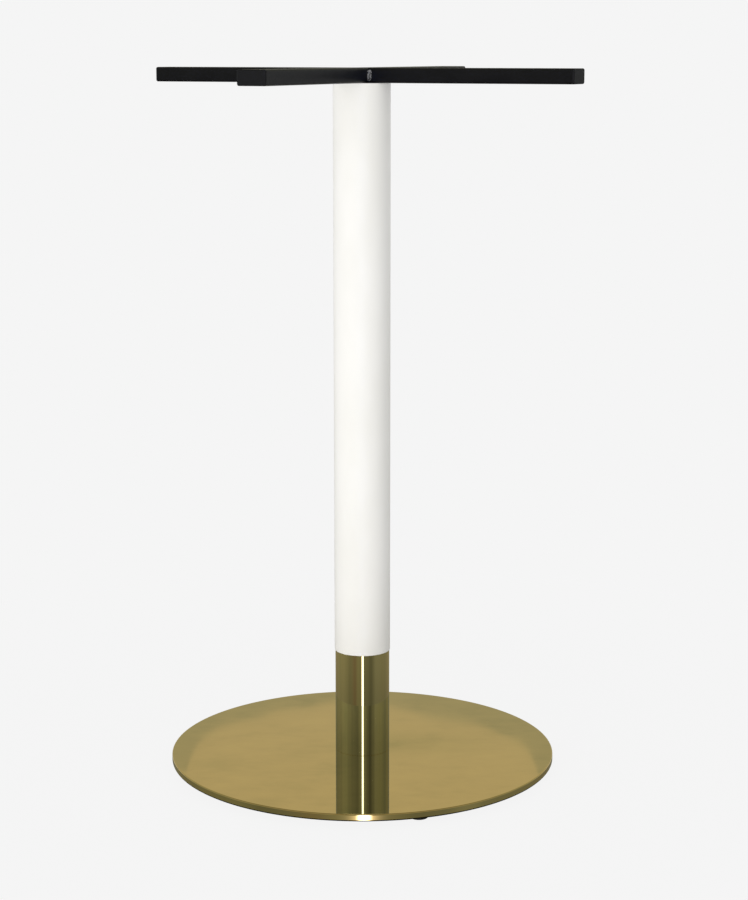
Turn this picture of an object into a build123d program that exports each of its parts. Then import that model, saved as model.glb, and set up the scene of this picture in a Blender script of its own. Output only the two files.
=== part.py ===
from build123d import *

import os

# Pedestal base for a tall table: a round foot disc, a sleeved column and a cross that carries the top.
# Millimetres, +Z up. The origin is on the floor under the column's axis. The cross's arms lie along X and Y.
# The four levelling feet stand between the arms and are drawn screwed fully in. Nothing keys the foot disc to
# the cross, so it is clamped a little turned from having its feet midway between the arms.

os.makedirs("parts", exist_ok=True)

# Overall sizes
overall_height = 973.0
disc_diameter = 540.0
arm_span = 620.0
disc_turn = -1.2

# Levelling feet: a plastic pad with a hexagon for the spanner, and an M8 steel stud moulded into it
foot_count = 4
foot_inset = 30.0
pad_diameter = 25.0
pad_height = 10.0
pad_round_height = 6.0
pad_hexagon_flats = 19.0
pad_edge_radius = 1.2
stud_diameter = 8.0
stud_head_flats = 13.0
stud_head_height = 3.0
stud_head_lift = 2.5
stud_end_gap = 0.5

# Foot disc: a steel plate under a thin spun cover whose edge is rolled in below it
plate_thickness = 8.0
plate_edge_gap = 0.3
plate_chamfer_spare = 0.2
cover_wall = 1.0
cover_inner_bend = 0.6
cover_lip_width = 7.0
cover_hole_gap = 0.2

# Column: sleeve below, painted tube above
sleeve_diameter = 76.1
sleeve_wall = 1.5
sleeve_height = 146.0
column_overhang = 0.95
column_wall = 2.0
tube_edge_break = 0.4
column_edge_radius = 0.7

# Turned pieces that centre the tubes
spigot_clearance = 0.2
foot_plug_height = 30.0
collar_spigot_length = 24.0
collar_wall = 6.0
collar_web = 5.0
top_spigot_height = 8.0
lead_in_chamfer = 1.0

# Countersunk screws from the plate into the foot plug
foot_screw_count = 4
foot_screw_circle = 46.0
foot_screw_diameter = 8.0
foot_screw_length = 25.0
foot_screw_head_diameter = 15.8
foot_screw_socket_flats = 5.0
foot_screw_socket_depth = 2.8
foot_screw_hole_spare = 3.0
screw_end_chamfer = 0.8

# Tie rod, washers and nut
rod_diameter = 12.0
rod_floor = 4.0
rod_beyond_nut = 1.0
rod_end_chamfer = 1.0
rod_hole_clearance = 0.5
washer_diameter = 24.0
washer_thickness = 2.5
washer_edge_chamfer = 0.3
spring_washer_section = 4.1
spring_washer_split = 2.0
spring_washer_slant = 20.0
nut_flats = 19.0
nut_height = 10.0
nut_access_diameter = 28.0

# Cross of rectangular tube
bar_width = 40.0
bar_height = 20.0
bar_wall = 2.0
bar_corner = 2.6
bar_inner_corner = 0.8
top_screw_hole_diameter = 6.5
outer_screw_circle = 560.0
inner_screw_circle = 320.0
weld_leg = 4.2
weld_bulge = 2.5

# End caps
cap_head = 3.0
cap_edge_radius = 1.6
cap_plug_depth = 14.0
cap_core_gap = 1.6
cap_core_wall = 1.5
cap_fin_count = 3
cap_fin_thickness = 1.0
cap_fin_gap = 0.1

# Small clearances
thread_gap = 0.05
moulded_gap = 0.05

# Places that follow from the sizes above
disc_radius = disc_diameter / 2
plate_bottom = pad_height
plate_top = plate_bottom + plate_thickness
rim_bottom = plate_bottom - cover_wall
disc_top = plate_top + cover_wall
plate_radius = disc_radius - cover_wall - plate_edge_gap
plate_chamfer = cover_inner_bend + plate_chamfer_spare
foot_circle_radius = disc_radius - foot_inset
foot_first_angle = 180.0 / foot_count + disc_turn

sleeve_radius = sleeve_diameter / 2
sleeve_inner_radius = sleeve_radius - sleeve_wall
sleeve_top = disc_top + sleeve_height
column_radius = sleeve_radius + column_overhang
column_inner_radius = column_radius - column_wall
column_top = overall_height - bar_height

foot_plug_radius = sleeve_inner_radius - spigot_clearance
cover_hole_radius = foot_plug_radius + cover_hole_gap
rod_radius = rod_diameter / 2
rod_bottom = plate_top + rod_floor
rod_hole_radius = rod_radius + rod_hole_clearance

bar_floor = column_top + bar_wall
spring_washer_bottom = bar_floor + washer_thickness
spring_washer_height = washer_thickness
nut_bottom = spring_washer_bottom + spring_washer_height
nut_top = nut_bottom + nut_height
rod_top = nut_top + rod_beyond_nut
bar_middle = column_top + bar_height / 2
tube_end = arm_span / 2 - cap_head

flat_to_corner_radius = 1 / 3**0.5
underside = Plane(origin=(0, 0, plate_bottom), x_dir=(1, 0, 0), z_dir=(0, 0, -1))


# Base plate, with tapped holes for the feet and countersunk holes for the foot plug's screws
with BuildPart() as base_plate:
    with BuildSketch(Plane.XY.offset(plate_bottom)):
        Circle(plate_radius)
    extrude(amount=plate_thickness)
    chamfer(base_plate.edges().filter_by(GeomType.CIRCLE), length=plate_chamfer)
    with BuildSketch(Plane.XY.offset(plate_bottom)):
        with PolarLocations(foot_circle_radius, foot_count, start_angle=foot_first_angle):
            Circle(stud_diameter / 2 + thread_gap)
    extrude(amount=plate_thickness, mode=Mode.SUBTRACT)
    with Locations(underside):
        with PolarLocations(foot_screw_circle / 2, foot_screw_count, start_angle=-disc_turn):
            CounterSinkHole(
                radius=foot_screw_diameter / 2 + rod_hole_clearance,
                counter_sink_radius=foot_screw_head_diameter / 2 + rod_hole_clearance,
                depth=plate_thickness,
            )
base_plate.part.label = "base_plate"
export_step(base_plate.part, "parts/base_plate.step")


# Spun cover: a thin shell over the plate, rolled in under its edge, with a hole for the foot plug
with BuildPart() as base_cover:
    with BuildSketch(Plane.XZ):
        with BuildLine():
            outside = FilletPolyline(
                (cover_hole_radius, disc_top),
                (disc_radius, disc_top),
                (disc_radius, rim_bottom),
                (disc_radius - cover_lip_width, rim_bottom),
                radius=cover_inner_bend + cover_wall,
            )
            inside = FilletPolyline(
                (cover_hole_radius, plate_top),
                (disc_radius - cover_wall, plate_top),
                (disc_radius - cover_wall, plate_bottom),
                (disc_radius - cover_lip_width, plate_bottom),
                radius=cover_inner_bend,
            )
            Line(outside @ 0, inside @ 0)
            Line(outside @ 1, inside @ 1)
        make_face()
    revolve(axis=Axis.Z)
base_cover.part.label = "base_cover"
export_step(base_cover.part, "parts/base_cover.step")


# Foot plug, tapped right through for the tie rod and from below for its screws
with BuildPart() as foot_plug:
    with BuildSketch(Plane.XY.offset(plate_top)):
        Circle(foot_plug_radius)
        Circle(rod_radius + thread_gap, mode=Mode.SUBTRACT)
    extrude(amount=foot_plug_height)
    top_rim = foot_plug.edges().filter_by(GeomType.CIRCLE).group_by(Axis.Z)[-1].sort_by(SortBy.RADIUS)[-1]
    chamfer(top_rim, length=lead_in_chamfer)
    with BuildSketch(Plane.XY.offset(plate_top)):
        with PolarLocations(foot_screw_circle / 2, foot_screw_count, start_angle=disc_turn):
            Circle(foot_screw_diameter / 2 + thread_gap)
    screw_hole_depth = foot_screw_length - plate_thickness + foot_screw_hole_spare
    extrude(amount=screw_hole_depth, mode=Mode.SUBTRACT)
foot_plug.part.label = "foot_plug"
export_step(foot_plug.part, "parts/foot_plug.step")


# Countersunk socket screws, heads just inside the plate's underside
head_radius = foot_screw_head_diameter / 2
shank_radius = foot_screw_diameter / 2
head_height = head_radius - shank_radius
for number, place in enumerate(
    PolarLocations(foot_screw_circle / 2, foot_screw_count, start_angle=disc_turn), start=1
):
    with BuildPart() as foot_screw:
        with BuildSketch(Plane(place.position).offset(plate_bottom + moulded_gap)):
            Circle(head_radius)
        extrude(amount=head_height, taper=45)
        with BuildSketch(Plane(place.position).offset(plate_bottom + head_height)):
            Circle(shank_radius)
        extrude(amount=foot_screw_length - head_height)
        chamfer(foot_screw.edges().filter_by(GeomType.CIRCLE).sort_by(Axis.Z)[-1], length=screw_end_chamfer)
        with BuildSketch(Plane(place.position).offset(plate_bottom)):
            RegularPolygon(foot_screw_socket_flats * flat_to_corner_radius, 6)
        extrude(amount=foot_screw_socket_depth, mode=Mode.SUBTRACT)
    foot_screw.part.label = f"foot_screw_{number}"
    export_step(foot_screw.part, f"parts/foot_screw_{number}.step")


# Levelling feet: pad with a hexagon on a round foot, moulded round the stud's head
stud_top = plate_top - stud_end_gap
stud_head_top = stud_head_lift + stud_head_height
for number, place in enumerate(
    PolarLocations(foot_circle_radius, foot_count, start_angle=foot_first_angle, rotate=False), start=1
):
    with BuildPart() as glide_pad:
        with BuildSketch(Plane(place.position)):
            Circle(pad_diameter / 2)
        extrude(amount=pad_round_height)
        fillet(glide_pad.edges().filter_by(GeomType.CIRCLE), radius=pad_edge_radius)
        with BuildSketch(Plane(place.position).offset(pad_round_height)):
            RegularPolygon(pad_hexagon_flats * flat_to_corner_radius, 6)
        extrude(amount=pad_height - pad_round_height)
        with BuildSketch(Plane(place.position).offset(stud_head_lift)):
            RegularPolygon(stud_head_flats * flat_to_corner_radius + moulded_gap, 6)
        extrude(amount=stud_head_height + moulded_gap, mode=Mode.SUBTRACT)
        with BuildSketch(Plane(place.position).offset(stud_head_top)):
            Circle(stud_diameter / 2 + moulded_gap)
        extrude(amount=pad_height - stud_head_top, mode=Mode.SUBTRACT)
    glide_pad.part.label = f"glide_pad_{number}"
    export_step(glide_pad.part, f"parts/glide_pad_{number}.step")

    with BuildPart() as glide_stud:
        with BuildSketch(Plane(place.position).offset(stud_head_lift)):
            RegularPolygon(stud_head_flats * flat_to_corner_radius, 6)
        extrude(amount=stud_head_height)
        with BuildSketch(Plane(place.position).offset(stud_head_top)):
            Circle(stud_diameter / 2)
        extrude(amount=stud_top - stud_head_top)
        chamfer(glide_stud.edges().filter_by(GeomType.CIRCLE).sort_by(Axis.Z)[-1], length=screw_end_chamfer)
    glide_stud.part.label = f"glide_stud_{number}"
    export_step(glide_stud.part, f"parts/glide_stud_{number}.step")


# Sleeve that stands on the cover round the foot plug
with BuildPart() as sleeve:
    with BuildSketch(Plane.XY.offset(disc_top)):
        Circle(sleeve_radius)
        Circle(sleeve_inner_radius, mode=Mode.SUBTRACT)
    extrude(amount=sleeve_height)
    chamfer(sleeve.edges().filter_by(GeomType.CIRCLE).group_by(SortBy.RADIUS)[-1], length=tube_edge_break)
sleeve.part.label = "sleeve"
export_step(sleeve.part, "parts/sleeve.step")


# Coupling collar, turned: one spigot in the sleeve, a wider one in the column, and a web that centres the rod
lower_spigot_radius = sleeve_inner_radius - spigot_clearance
upper_spigot_radius = column_inner_radius - spigot_clearance
collar_bore_radius = lower_spigot_radius - collar_wall
collar_bottom = sleeve_top - collar_spigot_length
collar_top = sleeve_top + collar_spigot_length
web_bottom = sleeve_top - collar_web / 2
web_top = sleeve_top + collar_web / 2
with BuildPart() as coupling_collar:
    with BuildSketch(Plane.XZ):
        with BuildLine():
            Polyline(
                (rod_hole_radius, web_bottom),
                (collar_bore_radius, web_bottom),
                (collar_bore_radius, collar_bottom),
                (lower_spigot_radius - lead_in_chamfer, collar_bottom),
                (lower_spigot_radius, collar_bottom + lead_in_chamfer),
                (lower_spigot_radius, sleeve_top),
                (upper_spigot_radius, sleeve_top),
                (upper_spigot_radius, collar_top - lead_in_chamfer),
                (upper_spigot_radius - lead_in_chamfer, collar_top),
                (collar_bore_radius, collar_top),
                (collar_bore_radius, web_top),
                (rod_hole_radius, web_top),
                close=True,
            )
        make_face()
    revolve(axis=Axis.Z)
coupling_collar.part.label = "coupling_collar"
export_step(coupling_collar.part, "parts/coupling_collar.step")


# Column tube, a little wider than the sleeve it stands on
with BuildPart() as column_tube:
    with BuildSketch(Plane.XY.offset(sleeve_top)):
        Circle(column_radius)
        Circle(column_inner_radius, mode=Mode.SUBTRACT)
    extrude(amount=column_top - sleeve_top)
    outer_edges = column_tube.edges().filter_by(GeomType.CIRCLE).group_by(SortBy.RADIUS)[-1]
    fillet(outer_edges, radius=column_edge_radius)
column_tube.part.label = "column_tube"
export_step(column_tube.part, "parts/column_tube.step")


# Top spigot, welded under the cross and sitting in the column's mouth
with BuildPart() as top_spigot:
    with BuildSketch(Plane.XY.offset(column_top - top_spigot_height)):
        Circle(column_inner_radius - spigot_clearance)
        Circle(rod_hole_radius, mode=Mode.SUBTRACT)
    extrude(amount=top_spigot_height)
    lower_rim = top_spigot.edges().filter_by(GeomType.CIRCLE).group_by(Axis.Z)[0].sort_by(SortBy.RADIUS)[-1]
    chamfer(lower_rim, length=lead_in_chamfer)
top_spigot.part.label = "top_spigot"
export_step(top_spigot.part, "parts/top_spigot.step")


# Tie rod from the foot plug to the nut
with BuildPart() as tie_rod:
    with BuildSketch(Plane.XY.offset(rod_bottom)):
        Circle(rod_radius)
    extrude(amount=rod_top - rod_bottom)
    chamfer(tie_rod.edges().filter_by(GeomType.CIRCLE), length=rod_end_chamfer)
tie_rod.part.label = "tie_rod"
export_step(tie_rod.part, "parts/tie_rod.step")


# Flat washer on the floor of the through bar
with BuildPart() as rod_washer:
    with BuildSketch(Plane.XY.offset(bar_floor)):
        Circle(washer_diameter / 2)
        Circle(rod_hole_radius, mode=Mode.SUBTRACT)
    extrude(amount=washer_thickness)
    chamfer(rod_washer.edges().group_by(Axis.Z)[-1].sort_by(SortBy.RADIUS)[-1], length=washer_edge_chamfer)
rod_washer.part.label = "rod_washer"
export_step(rod_washer.part, "parts/rod_washer.step")


# Spring washer, split on a slant and drawn pressed flat
with BuildPart() as rod_spring_washer:
    spring_washer_radius = rod_radius + thread_gap + spring_washer_section
    with BuildSketch(Plane.XY.offset(spring_washer_bottom)):
        Circle(spring_washer_radius)
        Circle(rod_radius + thread_gap, mode=Mode.SUBTRACT)
    extrude(amount=spring_washer_height)
    with BuildSketch(Plane.YZ):
        slot_middle = spring_washer_bottom + spring_washer_height / 2
        with Locations((0, slot_middle)):
            Rectangle(spring_washer_split, 2 * spring_washer_height, rotation=-spring_washer_slant)
    extrude(amount=spring_washer_radius, mode=Mode.SUBTRACT)
rod_spring_washer.part.label = "rod_spring_washer"
export_step(rod_spring_washer.part, "parts/rod_spring_washer.step")


# Nut, its corners turned off at both ends
with BuildPart() as rod_nut:
    with BuildSketch(Plane.XY.offset(nut_bottom)):
        RegularPolygon(nut_flats * flat_to_corner_radius, 6)
    extrude(amount=nut_height)
    nut_corner_radius = nut_flats * flat_to_corner_radius
    corner_drop = (nut_corner_radius - nut_flats / 2) / 3**0.5
    with BuildSketch(Plane.XZ):
        with BuildLine():
            Polyline(
                (0, nut_bottom),
                (nut_flats / 2, nut_bottom),
                (nut_corner_radius, nut_bottom + corner_drop),
                (nut_corner_radius, nut_top - corner_drop),
                (nut_flats / 2, nut_top),
                (0, nut_top),
                close=True,
            )
        make_face()
    revolve(axis=Axis.Z, mode=Mode.INTERSECT)
    with Locations((0, 0, nut_top)):
        Hole(rod_radius + thread_gap)
rod_nut.part.label = "rod_nut"
export_step(rod_nut.part, "parts/rod_nut.step")


# Through bar of the cross, with the nut's hole at its middle and two screw holes in each half
with BuildPart() as cross_bar:
    with BuildSketch(Plane.YZ.offset(-tube_end)):
        with Locations((0, bar_middle)):
            RectangleRounded(bar_width, bar_height, bar_corner)
            RectangleRounded(
                bar_width - 2 * bar_wall, bar_height - 2 * bar_wall, bar_inner_corner, mode=Mode.SUBTRACT
            )
    extrude(amount=2 * tube_end)
    with Locations((0, 0, overall_height)):
        Hole(nut_access_diameter / 2, depth=bar_height / 2)
        Hole(rod_hole_radius, depth=bar_height)
    for circle in (inner_screw_circle, outer_screw_circle):
        with Locations((-circle / 2, 0, overall_height), (circle / 2, 0, overall_height)):
            Hole(top_screw_hole_diameter / 2, depth=bar_height)
cross_bar.part.label = "cross_bar"
export_step(cross_bar.part, "parts/cross_bar.step")


# Half arms, butted against the through bar's sides with a fillet weld in each inner corner
for number, angle in enumerate((-90, 90), start=1):
    outward = Vector(1, 0, 0).rotate(Axis.Z, angle)
    across = Vector(0, 1, 0).rotate(Axis.Z, angle)
    root = outward * (bar_width / 2)
    arm_section = Plane(origin=root + Vector(0, 0, bar_middle), x_dir=across, z_dir=outward)
    weld_plane = Plane(origin=root + Vector(0, 0, column_top + bar_corner), x_dir=outward, z_dir=(0, 0, 1))
    with BuildPart() as cross_arm:
        with BuildSketch(arm_section):
            RectangleRounded(bar_width, bar_height, bar_corner)
            RectangleRounded(
                bar_width - 2 * bar_wall, bar_height - 2 * bar_wall, bar_inner_corner, mode=Mode.SUBTRACT
            )
        extrude(amount=tube_end - bar_width / 2)
        with BuildSketch(weld_plane):
            for side in (-1, 1):
                with BuildLine():
                    corner = (0, side * bar_width / 2)
                    along_bar = (0, side * (bar_width / 2 + weld_leg))
                    along_arm = (weld_leg, side * bar_width / 2)
                    bulge = (weld_bulge, side * (bar_width / 2 + weld_bulge))
                    Line(corner, along_bar)
                    ThreePointArc(along_bar, bulge, along_arm)
                    Line(along_arm, corner)
                make_face()
        extrude(amount=bar_height - 2 * bar_corner)
        for circle in (inner_screw_circle, outer_screw_circle):
            with Locations(outward * (circle / 2) + Vector(0, 0, overall_height)):
                Hole(top_screw_hole_diameter / 2, depth=bar_height)
    cross_arm.part.label = f"cross_arm_{number}"
    export_step(cross_arm.part, f"parts/cross_arm_{number}.step")


# End caps: a rounded head over the tube's end, and a hollow plug with fins that grip inside it
plug_width = bar_width - 2 * bar_wall
plug_height = bar_height - 2 * bar_wall
core_width = plug_width - 2 * cap_core_gap
core_height = plug_height - 2 * cap_core_gap
fin_pitch = cap_plug_depth / cap_fin_count
for number, angle in enumerate((0, 90, 180, 270), start=1):
    outward = Vector(1, 0, 0).rotate(Axis.Z, angle)
    across = Vector(0, 1, 0).rotate(Axis.Z, angle)
    mouth = Plane(origin=outward * tube_end + Vector(0, 0, bar_middle), x_dir=across, z_dir=outward)
    with BuildPart() as end_cap:
        with BuildSketch(mouth):
            RectangleRounded(bar_width, bar_height, bar_corner)
        extrude(amount=cap_head)
        outer_face = end_cap.faces().sort_by(Axis(mouth.origin, outward))[-1]
        fillet(outer_face.edges(), radius=cap_edge_radius)
        with BuildSketch(mouth):
            Rectangle(core_width, core_height)
            Rectangle(core_width - 2 * cap_core_wall, core_height - 2 * cap_core_wall, mode=Mode.SUBTRACT)
        extrude(amount=-cap_plug_depth)
        for fin in range(cap_fin_count):
            with BuildSketch(mouth.offset(-(fin + 0.5) * fin_pitch - cap_fin_thickness / 2)):
                RectangleRounded(plug_width - 2 * cap_fin_gap, plug_height - 2 * cap_fin_gap, bar_inner_corner)
                Rectangle(core_width, core_height, mode=Mode.SUBTRACT)
            extrude(amount=cap_fin_thickness)
    end_cap.part.label = f"end_cap_{number}"
    export_step(end_cap.part, f"parts/end_cap_{number}.step")
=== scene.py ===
import math

import bmesh
import bpy
import numpy as np
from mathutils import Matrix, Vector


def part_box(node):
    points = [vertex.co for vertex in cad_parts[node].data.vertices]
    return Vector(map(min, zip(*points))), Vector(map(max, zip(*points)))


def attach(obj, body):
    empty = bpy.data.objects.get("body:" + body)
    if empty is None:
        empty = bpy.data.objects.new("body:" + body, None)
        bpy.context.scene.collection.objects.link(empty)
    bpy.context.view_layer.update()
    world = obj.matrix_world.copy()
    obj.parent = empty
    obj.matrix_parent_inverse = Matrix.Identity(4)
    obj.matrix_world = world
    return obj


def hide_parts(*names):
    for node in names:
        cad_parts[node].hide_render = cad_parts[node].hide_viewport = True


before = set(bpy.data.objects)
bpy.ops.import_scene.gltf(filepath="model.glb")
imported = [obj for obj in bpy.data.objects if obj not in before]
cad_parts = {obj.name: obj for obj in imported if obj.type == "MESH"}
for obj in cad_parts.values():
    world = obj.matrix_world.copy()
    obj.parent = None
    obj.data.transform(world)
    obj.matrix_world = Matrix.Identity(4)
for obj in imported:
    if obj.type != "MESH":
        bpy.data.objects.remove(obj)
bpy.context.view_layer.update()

# Studio: a pale seamless floor and backdrop, a large soft key light at the camera's left, a weak fill at its
# right, and round it a room of soft tones that the polished metal mirrors. The camera stands 2.9 m away with
# a long lens, a little above the cross.
camera_turn = math.radians(25.77)
camera_distance = 2.8817
camera_height = 0.9958
camera_pitch = 0.187
camera_aim_right = 0.0057
camera_lens = 84.5

camera_data = bpy.data.cameras.new("camera")
camera_data.lens = camera_lens
camera_data.sensor_width = 36
camera_data.clip_end = 60
camera = bpy.data.objects.new("camera", camera_data)
camera.location = (
    camera_distance * math.sin(camera_turn),
    -camera_distance * math.cos(camera_turn),
    camera_height,
)
camera.rotation_euler = (math.pi / 2 - camera_pitch, 0, camera_turn - camera_aim_right)
bpy.context.scene.collection.objects.link(camera)
bpy.context.scene.camera = camera
bpy.context.scene.view_settings.view_transform = "Standard"


def linear(colour):
    """An sRGB hex colour as linear red, green and blue with full alpha: the sRGB curve undone per channel."""
    channels = np.array([int(colour[i : i + 2], 16) for i in (1, 3, 5)]) / 255
    flat = np.where(channels <= 0.04045, channels / 12.92, ((channels + 0.055) / 1.055) ** 2.4)
    return (*flat.tolist(), 1.0)


def add(tree, kind, inputs=None, output=0, stops=(), easing="EASE", **settings):
    """Adds a shader node with its settings, a colour ramp's (place, colour) stops, and its inputs.

    An input that is a socket is linked, and any other is set, a hex colour as a linear one. Returns one
    of the node's outputs, by name or number, or the node if it has none.
    """
    node = tree.nodes.new("ShaderNode" + kind)
    for name, value in settings.items():
        setattr(node, name, value)
    if stops:
        node.color_ramp.interpolation = easing
        elements = node.color_ramp.elements
        while len(elements) < len(stops):
            elements.new(1.0)
        for element, (place, colour) in zip(elements, stops):
            element.position = place
            element.color = linear(colour)
    for name, value in (inputs or {}).items():
        if isinstance(value, bpy.types.NodeSocket):
            tree.links.new(value, node.inputs[name])
        else:
            node.inputs[name].default_value = linear(value) if isinstance(value, str) else value
    return node.outputs[output] if len(node.outputs) else node


def scaled(value, start, end, low=0.0, high=1.0):
    """Inputs for a Map Range node: the range from start to end is carried over to the range low to high."""
    return {"Value": value, "From Min": start, "From Max": end, "To Min": low, "To Max": high}


# A Map Range node that eases in and out, and a Mix node for colours, whose share goes into socket 0, whose
# colours go into 6 and 7, and whose result is output 2.
eased = {"interpolation_type": "SMOOTHSTEP"}
in_colour = {"data_type": "RGBA", "output": 2}

degree = math.radians(1)
world = bpy.data.worlds.new("studio")
bpy.context.scene.world = world
world.use_nodes = True
sky = world.node_tree
sky.nodes.clear()
direction = add(sky, "TexCoord", output="Generated")
turned = add(sky, "Mapping", {"Vector": direction, "Rotation": (0, 0, -camera_turn)})
right, away, up = add(sky, "SeparateXYZ", {"Vector": turned}).node.outputs
forward = add(sky, "Math", {0: away, 1: -1.0}, operation="MULTIPLY")
azimuth = add(sky, "Math", {0: right, 1: forward}, operation="ARCTAN2")
elevation = add(sky, "Math", {0: up}, operation="ARCSINE")
aside = add(sky, "Math", {0: azimuth}, operation="ABSOLUTE")
behind = add(sky, "Math", {0: math.pi, 1: aside}, operation="SUBTRACT")
steepness = add(sky, "Math", {0: elevation}, operation="ABSOLUTE")


def within(strength, *limits):
    """A strength that eases away at each limit: (angle, where it is whole, where it is none), in degrees."""
    for angle, full, none in limits:
        share = add(sky, "MapRange", scaled(angle, full * degree, none * degree, 1.0, 0.0), **eased)
        strength = add(sky, "Math", {0: strength, 1: share}, operation="MULTIPLY")
    return strength


# The room that polished metal mirrors: soft dark and light bands whose tones change round the object, from
# straight behind it (0) by the camera (0.5) and back. It is lighter high up, and dim overhead and underfoot.
share_round = add(sky, "Math", {0: azimuth, 1: 2 * math.pi}, operation="DIVIDE")
round_the_room = add(sky, "Math", {0: share_round, 1: 0.5}, operation="ADD")
low_tones = [
    (0.00, "#8a8468"), (0.10, "#87877a"), (0.17, "#868d8c"), (0.28, "#868d90"), (0.36, "#737a7c"),
    (0.41, "#726f70"), (0.45, "#7f8684"), (0.55, "#6d7578"), (0.60, "#5e666a"), (0.67, "#7b848b"),
    (0.82, "#7c8286"), (0.90, "#87877a"), (1.00, "#8a8468"),
]
floor_tones = [
    (0.00, "#7b7a68"), (0.09, "#7a7c6c"), (0.19, "#757a74"), (0.28, "#777d78"), (0.33, "#6d7374"),
    (0.37, "#6f7576"), (0.42, "#7a7974"), (0.46, "#828884"), (0.55, "#7b807e"), (0.59, "#6d7374"),
    (0.63, "#70777a"), (0.68, "#81888a"), (0.73, "#777e80"), (0.79, "#767c7c"), (0.92, "#777666"),
    (1.00, "#7b7a68"),
]
high_tones = [
    (0.00, "#a9ab9b"), (0.20, "#9da09a"), (0.40, "#a8a69a"), (0.50, "#b0ada0"), (0.60, "#a8a69a"),
    (0.80, "#9da09a"), (1.00, "#a9ab9b"),
]
low_room = add(sky, "ValToRGB", {0: round_the_room}, stops=low_tones)
lit_floor = add(sky, "ValToRGB", {0: round_the_room}, stops=floor_tones)
high_room = add(sky, "ValToRGB", {0: round_the_room}, stops=high_tones)
ceiling = "#7d7b71"
underfoot = "#1d1e1b"
falling = add(sky, "MapRange", scaled(elevation, -16.1 * degree, -17.9 * degree, 1.1, 0.86), **eased)
room = add(sky, "Mix", {0: 1.0, 6: low_room, 7: falling}, blend_type="MULTIPLY", **in_colour)
for start, end, tone in (
    (-17.9, -18.6, lit_floor),
    (2.0, 14.0, high_room),
    (34.0, 55.0, ceiling),
    (-21.6, -27.0, underfoot),
):
    share = add(sky, "MapRange", scaled(elevation, start * degree, end * degree), **eased)
    room = add(sky, "Mix", {0: share, 6: room, 7: tone}, **in_colour)

# The lit backdrop makes the horizon behind the object white.
horizon = within(1.0, (steepness, 3, 9), (behind, 40, 80))
room = add(sky, "Mix", {0: horizon, 6: room, 7: "#f0f0ef"}, **in_colour)

# A big warm reflector behind the object, arched at its foot, whose reflection covers most of the disc. Its
# foot rises slowly to both sides and then steeply at the shoulders, is uneven, and lies lower at the left.
arch_foot = 16.85 * degree
arch_slope = 0.2
arch_shoulder = 4.85 * degree
haunch_bend = 16.0
haunch_rise = 0.6 * degree
haunch_limit = 1.6
unevenness = 0.7 * degree
left_drop = 0.2 * degree
arch = add(sky, "Math", {0: behind, 1: arch_slope, 2: arch_foot}, operation="MULTIPLY_ADD")
haunch = add(sky, "Math", {0: behind, 1: arch_shoulder}, operation="DIVIDE")
haunch = add(sky, "Math", {0: haunch, 1: haunch_bend}, operation="POWER")
haunch = add(sky, "Math", {0: haunch, 1: haunch_limit}, operation="MINIMUM")
arch = add(sky, "Math", {0: haunch, 1: haunch_rise, 2: arch}, operation="MULTIPLY_ADD")
wave = add(sky, "TexNoise", {"Vector": direction, "Scale": 22.0, "Detail": 2.0}, output="Fac")
arch = add(sky, "Math", {0: wave, 1: unevenness, 2: arch}, operation="MULTIPLY_ADD")
drop = add(sky, "MapRange", scaled(right, 0.01, -0.02, 0.0, -left_drop), **eased)
arch = add(sky, "Math", {0: arch, 1: drop}, operation="ADD")
over_arch = add(sky, "Math", {0: elevation, 1: arch}, operation="SUBTRACT")
reflector = within(1.0, (over_arch, 0.4, 0.2), (elevation, 24, 36), (behind, 30, 80))
room = add(sky, "Mix", {0: reflector, 6: room, 7: "#c0bba6"}, **in_colour)

# A shallow fold in the reflector, behind the object and to its right, lies in a faint shade.
fold_height = add(sky, "Math", {0: elevation, 1: 18.61 * degree}, operation="SUBTRACT")
fold_height = add(sky, "Math", {0: fold_height}, operation="ABSOLUTE")
fold_aside = add(sky, "Math", {0: math.pi, 1: azimuth}, operation="SUBTRACT")
fold = within(0.22, (fold_height, 0.08, 0.36), (fold_aside, 0.3, 4.8))
room = add(sky, "Mix", {0: fold, 6: room, 7: "#66806c"}, **in_colour)

# Light that has met the gold finish twice would turn orange. The real piece stays olive there, so the
# second meeting sees one set of bands at every height, a little lighter low down, and all of it cooler.
second_tones = [
    (0.00, "#858068"), (0.10, "#8f8c72"), (0.17, "#93948a"), (0.29, "#a0a39c"), (0.34, "#8f928d"),
    (0.39, "#7f827e"), (0.44, "#787b77"), (0.47, "#8e918b"), (0.53, "#8c8f89"), (0.56, "#747773"),
    (0.59, "#5b5e5b"), (0.63, "#797c78"), (0.66, "#929590"), (0.72, "#909389"), (0.82, "#82857f"),
    (0.87, "#8f8c72"), (1.00, "#858068"),
]
rays = add(sky, "LightPath").node.outputs
second_meeting = add(sky, "Math", {0: rays["Glossy Depth"], 1: 1.5}, operation="GREATER_THAN")
fading = add(sky, "MapRange", scaled(elevation, 17.4 * degree, 18.9 * degree, 1.22, 0.93), **eased)
second_room = add(sky, "ValToRGB", {0: round_the_room}, stops=second_tones)
second_room = add(sky, "Mix", {0: 1.0, 6: second_room, 7: fading}, blend_type="MULTIPLY", **in_colour)
room = add(sky, "Mix", {0: second_meeting, 6: room, 7: second_room}, **in_colour)

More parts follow.
